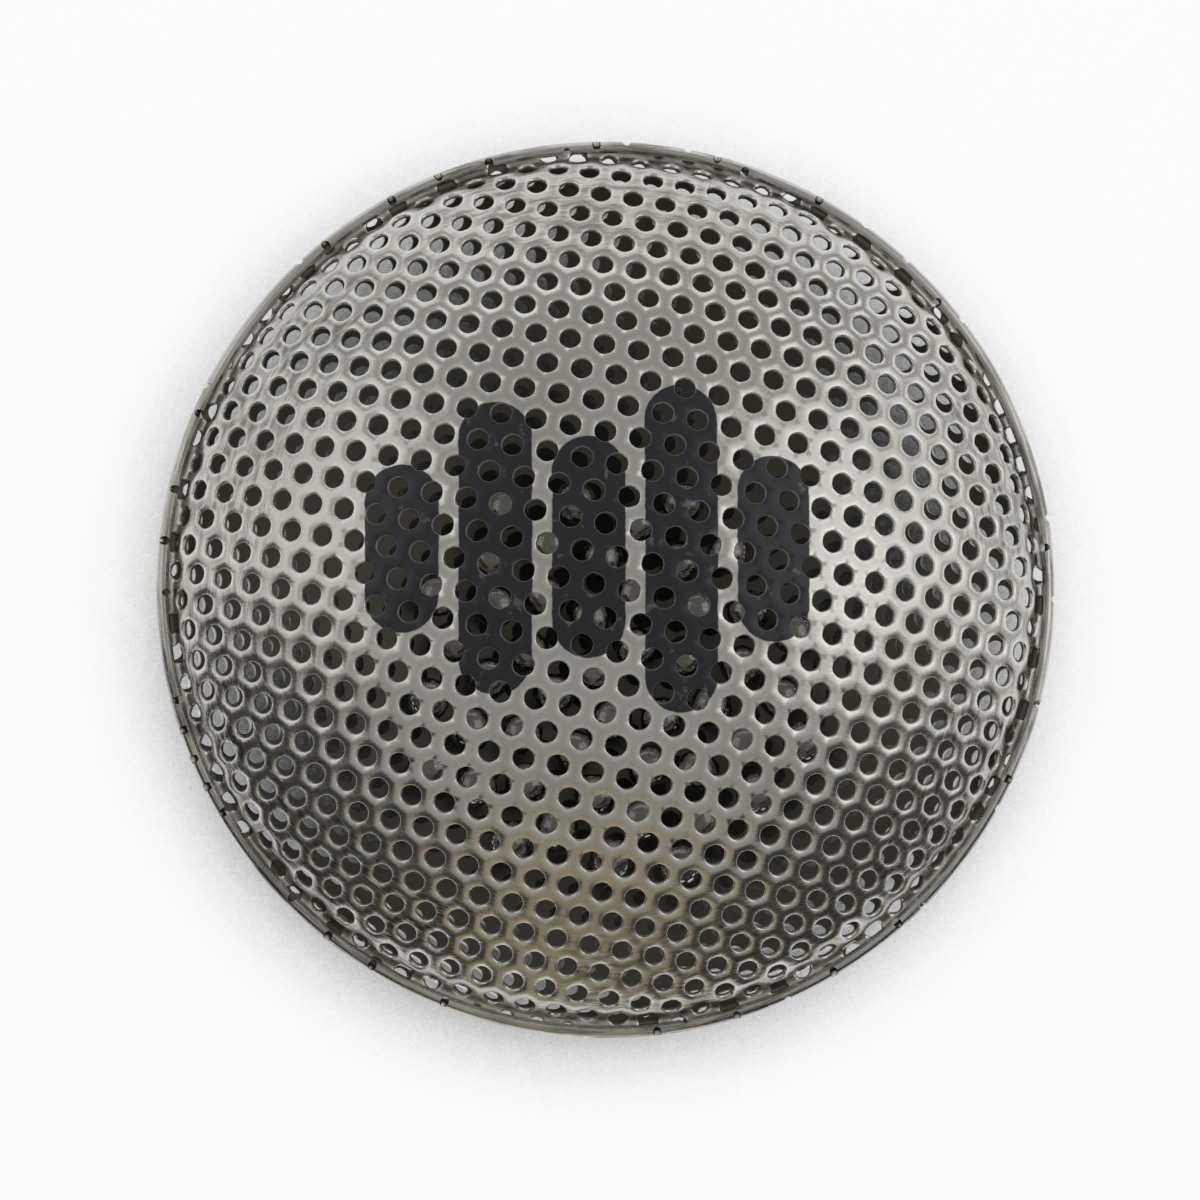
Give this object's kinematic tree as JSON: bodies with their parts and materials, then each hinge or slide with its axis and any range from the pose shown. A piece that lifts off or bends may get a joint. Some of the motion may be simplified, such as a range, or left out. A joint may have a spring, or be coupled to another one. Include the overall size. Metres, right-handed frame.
{
  "type": "percussion shaker",
  "caption": "Lens-shaped hand shaker of two perforated steel domes hemmed together at the rim, with loose steel beads that rattle inside.",
  "frame": {"origin": "lowest point of the rear crown, under the centre of the rim", "axes": "+Z along the round axis from the rear crown to the front crown, +Y towards the top of the front face as it is looked at, +X to its right"},
  "size_m": [0.103, 0.103, 0.0434],
  "materials": {
    "sheet_steel": "satin",
    "bead_steel": "polished"
  },
  "bodies": {
    "shells": {"front_shell": "sheet_steel", "rear_shell": "sheet_steel"},
    "bead_01": {"bead_01": "bead_steel"},
    "bead_02": {"bead_02": "bead_steel"},
    "bead_03": {"bead_03": "bead_steel"},
    "bead_04": {"bead_04": "bead_steel"},
    "bead_05": {"bead_05": "bead_steel"},
    "bead_06": {"bead_06": "bead_steel"},
    "bead_07": {"bead_07": "bead_steel"},
    "bead_08": {"bead_08": "bead_steel"},
    "bead_09": {"bead_09": "bead_steel"},
    "bead_10": {"bead_10": "bead_steel"},
    "bead_11": {"bead_11": "bead_steel"},
    "bead_12": {"bead_12": "bead_steel"},
    "bead_13": {"bead_13": "bead_steel"},
    "bead_14": {"bead_14": "bead_steel"},
    "bead_15": {"bead_15": "bead_steel"},
    "bead_16": {"bead_16": "bead_steel"},
    "bead_17": {"bead_17": "bead_steel"},
    "bead_18": {"bead_18": "bead_steel"},
    "bead_19": {"bead_19": "bead_steel"},
    "bead_20": {"bead_20": "bead_steel"},
    "bead_21": {"bead_21": "bead_steel"},
    "bead_22": {"bead_22": "bead_steel"},
    "bead_23": {"bead_23": "bead_steel"},
    "bead_24": {"bead_24": "bead_steel"},
    "bead_25": {"bead_25": "bead_steel"},
    "bead_26": {"bead_26": "bead_steel"},
    "bead_27": {"bead_27": "bead_steel"},
    "bead_28": {"bead_28": "bead_steel"},
    "bead_29": {"bead_29": "bead_steel"},
    "bead_30": {"bead_30": "bead_steel"},
    "bead_31": {"bead_31": "bead_steel"},
    "bead_32": {"bead_32": "bead_steel"},
    "bead_33": {"bead_33": "bead_steel"},
    "bead_34": {"bead_34": "bead_steel"},
    "bead_35": {"bead_35": "bead_steel"},
    "bead_36": {"bead_36": "bead_steel"},
    "bead_37": {"bead_37": "bead_steel"},
    "bead_38": {"bead_38": "bead_steel"},
    "bead_39": {"bead_39": "bead_steel"},
    "bead_40": {"bead_40": "bead_steel"},
    "bead_41": {"bead_41": "bead_steel"},
    "bead_42": {"bead_42": "bead_steel"},
    "bead_43": {"bead_43": "bead_steel"},
    "bead_44": {"bead_44": "bead_steel"},
    "bead_45": {"bead_45": "bead_steel"},
    "bead_46": {"bead_46": "bead_steel"},
    "bead_47": {"bead_47": "bead_steel"},
    "bead_48": {"bead_48": "bead_steel"}
  },
  "joints": [
    {"name": "bead_01_rattle", "type": "slide", "parent": "shells", "child": "bead_01", "axis": [0, 0, 1], "range_m": [0, 0.0355]},
    {"name": "bead_02_rattle", "type": "slide", "parent": "shells", "child": "bead_02", "axis": [0, 0, 1], "range_m": [0, 0.0335]},
    {"name": "bead_03_rattle", "type": "slide", "parent": "shells", "child": "bead_03", "axis": [0, 0, 1], "range_m": [0, 0.0355]},
    {"name": "bead_04_rattle", "type": "slide", "parent": "shells", "child": "bead_04", "axis": [0, 0, 1], "range_m": [0, 0.034]},
    {"name": "bead_05_rattle", "type": "slide", "parent": "shells", "child": "bead_05", "axis": [0, 0, 1], "range_m": [0, 0.033]},
    {"name": "bead_06_rattle", "type": "slide", "parent": "shells", "child": "bead_06", "axis": [0, 0, 1], "range_m": [0, 0.0365]},
    {"name": "bead_07_rattle", "type": "slide", "parent": "shells", "child": "bead_07", "axis": [0, 0, 1], "range_m": [0, 0.0315]},
    {"name": "bead_08_rattle", "type": "slide", "parent": "shells", "child": "bead_08", "axis": [0, 0, 1], "range_m": [0, 0.0345]},
    {"name": "bead_09_rattle", "type": "slide", "parent": "shells", "child": "bead_09", "axis": [0, 0, 1], "range_m": [0, 0.035]},
    {"name": "bead_10_rattle", "type": "slide", "parent": "shells", "child": "bead_10", "axis": [0, 0, 1], "range_m": [0, 0.0305]},
    {"name": "bead_11_rattle", "type": "slide", "parent": "shells", "child": "bead_11", "axis": [0, 0, 1], "range_m": [0, 0.036]},
    {"name": "bead_12_rattle", "type": "slide", "parent": "shells", "child": "bead_12", "axis": [0, 0, 1], "range_m": [0, 0.0315]},
    {"name": "bead_13_rattle", "type": "slide", "parent": "shells", "child": "bead_13", "axis": [0, 0, 1], "range_m": [0, 0.0315]},
    {"name": "bead_14_rattle", "type": "slide", "parent": "shells", "child": "bead_14", "axis": [0, 0, 1], "range_m": [0, 0.036]},
    {"name": "bead_15_rattle", "type": "slide", "parent": "shells", "child": "bead_15", "axis": [0, 0, 1], "range_m": [0, 0.0285]},
    {"name": "bead_16_rattle", "type": "slide", "parent": "shells", "child": "bead_16", "axis": [0, 0, 1], "range_m": [0, 0.0345]},
    {"name": "bead_17_rattle", "type": "slide", "parent": "shells", "child": "bead_17", "axis": [0, 0, 1], "range_m": [0, 0.0325]},
    {"name": "bead_18_rattle", "type": "slide", "parent": "shells", "child": "bead_18", "axis": [0, 0, 1], "range_m": [0, 0.0285]},
    {"name": "bead_19_rattle", "type": "slide", "parent": "shells", "child": "bead_19", "axis": [0, 0, 1], "range_m": [0, 0.036]},
    {"name": "bead_20_rattle", "type": "slide", "parent": "shells", "child": "bead_20", "axis": [0, 0, 1], "range_m": [0, 0.0285]},
    {"name": "bead_21_rattle", "type": "slide", "parent": "shells", "child": "bead_21", "axis": [0, 0, 1], "range_m": [0, 0.0315]},
    {"name": "bead_22_rattle", "type": "slide", "parent": "shells", "child": "bead_22", "axis": [0, 0, 1], "range_m": [0, 0.034]},
    {"name": "bead_23_rattle", "type": "slide", "parent": "shells", "child": "bead_23", "axis": [0, 0, 1], "range_m": [0, 0.026]},
    {"name": "bead_24_rattle", "type": "slide", "parent": "shells", "child": "bead_24", "axis": [0, 0, 1], "range_m": [0, 0.035]},
    {"name": "bead_25_rattle", "type": "slide", "parent": "shells", "child": "bead_25", "axis": [0, 0, 1], "range_m": [0, 0.0295]},
    {"name": "bead_26_rattle", "type": "slide", "parent": "shells", "child": "bead_26", "axis": [0, 0, 1], "range_m": [0, 0.0275]},
    {"name": "bead_27_rattle", "type": "slide", "parent": "shells", "child": "bead_27", "axis": [0, 0, 1], "range_m": [0, 0.0355]},
    {"name": "bead_28_rattle", "type": "slide", "parent": "shells", "child": "bead_28", "axis": [0, 0, 1], "range_m": [0, 0.025]},
    {"name": "bead_29_rattle", "type": "slide", "parent": "shells", "child": "bead_29", "axis": [0, 0, 1], "range_m": [0, 0.032]},
    {"name": "bead_30_rattle", "type": "slide", "parent": "shells", "child": "bead_30", "axis": [0, 0, 1], "range_m": [0, 0.0315]},
    {"name": "bead_31_rattle", "type": "slide", "parent": "shells", "child": "bead_31", "axis": [0, 0, 1], "range_m": [0, 0.0245]},
    {"name": "bead_32_rattle", "type": "slide", "parent": "shells", "child": "bead_32", "axis": [0, 0, 1], "range_m": [0, 0.035]},
    {"name": "bead_33_rattle", "type": "slide", "parent": "shells", "child": "bead_33", "axis": [0, 0, 1], "range_m": [0, 0.026]},
    {"name": "bead_34_rattle", "type": "slide", "parent": "shells", "child": "bead_34", "axis": [0, 0, 1], "range_m": [0, 0.028]},
    {"name": "bead_35_rattle", "type": "slide", "parent": "shells", "child": "bead_35", "axis": [0, 0, 1], "range_m": [0, 0.0335]},
    {"name": "bead_36_rattle", "type": "slide", "parent": "shells", "child": "bead_36", "axis": [0, 0, 1], "range_m": [0, 0.022]},
    {"name": "bead_37_rattle", "type": "slide", "parent": "shells", "child": "bead_37", "axis": [0, 0, 1], "range_m": [0, 0.0325]},
    {"name": "bead_38_rattle", "type": "slide", "parent": "shells", "child": "bead_38", "axis": [0, 0, 1], "range_m": [0, 0.0285]},
    {"name": "bead_39_rattle", "type": "slide", "parent": "shells", "child": "bead_39", "axis": [0, 0, 1], "range_m": [0, 0.0235]},
    {"name": "bead_40_rattle", "type": "slide", "parent": "shells", "child": "bead_40", "axis": [0, 0, 1], "range_m": [0, 0.0345]},
    {"name": "bead_41_rattle", "type": "slide", "parent": "shells", "child": "bead_41", "axis": [0, 0, 1], "range_m": [0, 0.0225]},
    {"name": "bead_42_rattle", "type": "slide", "parent": "shells", "child": "bead_42", "axis": [0, 0, 1], "range_m": [0, 0.0285]},
    {"name": "bead_43_rattle", "type": "slide", "parent": "shells", "child": "bead_43", "axis": [0, 0, 1], "range_m": [0, 0.031]},
    {"name": "bead_44_rattle", "type": "slide", "parent": "shells", "child": "bead_44", "axis": [0, 0, 1], "range_m": [0, 0.02]},
    {"name": "bead_45_rattle", "type": "slide", "parent": "shells", "child": "bead_45", "axis": [0, 0, 1], "range_m": [0, 0.033]},
    {"name": "bead_46_rattle", "type": "slide", "parent": "shells", "child": "bead_46", "axis": [0, 0, 1], "range_m": [0, 0.0245]},
    {"name": "bead_47_rattle", "type": "slide", "parent": "shells", "child": "bead_47", "axis": [0, 0, 1], "range_m": [0, 0.024]},
    {"name": "bead_48_rattle", "type": "slide", "parent": "shells", "child": "bead_48", "axis": [0, 0, 1], "range_m": [0, 0.033]}
  ]
}
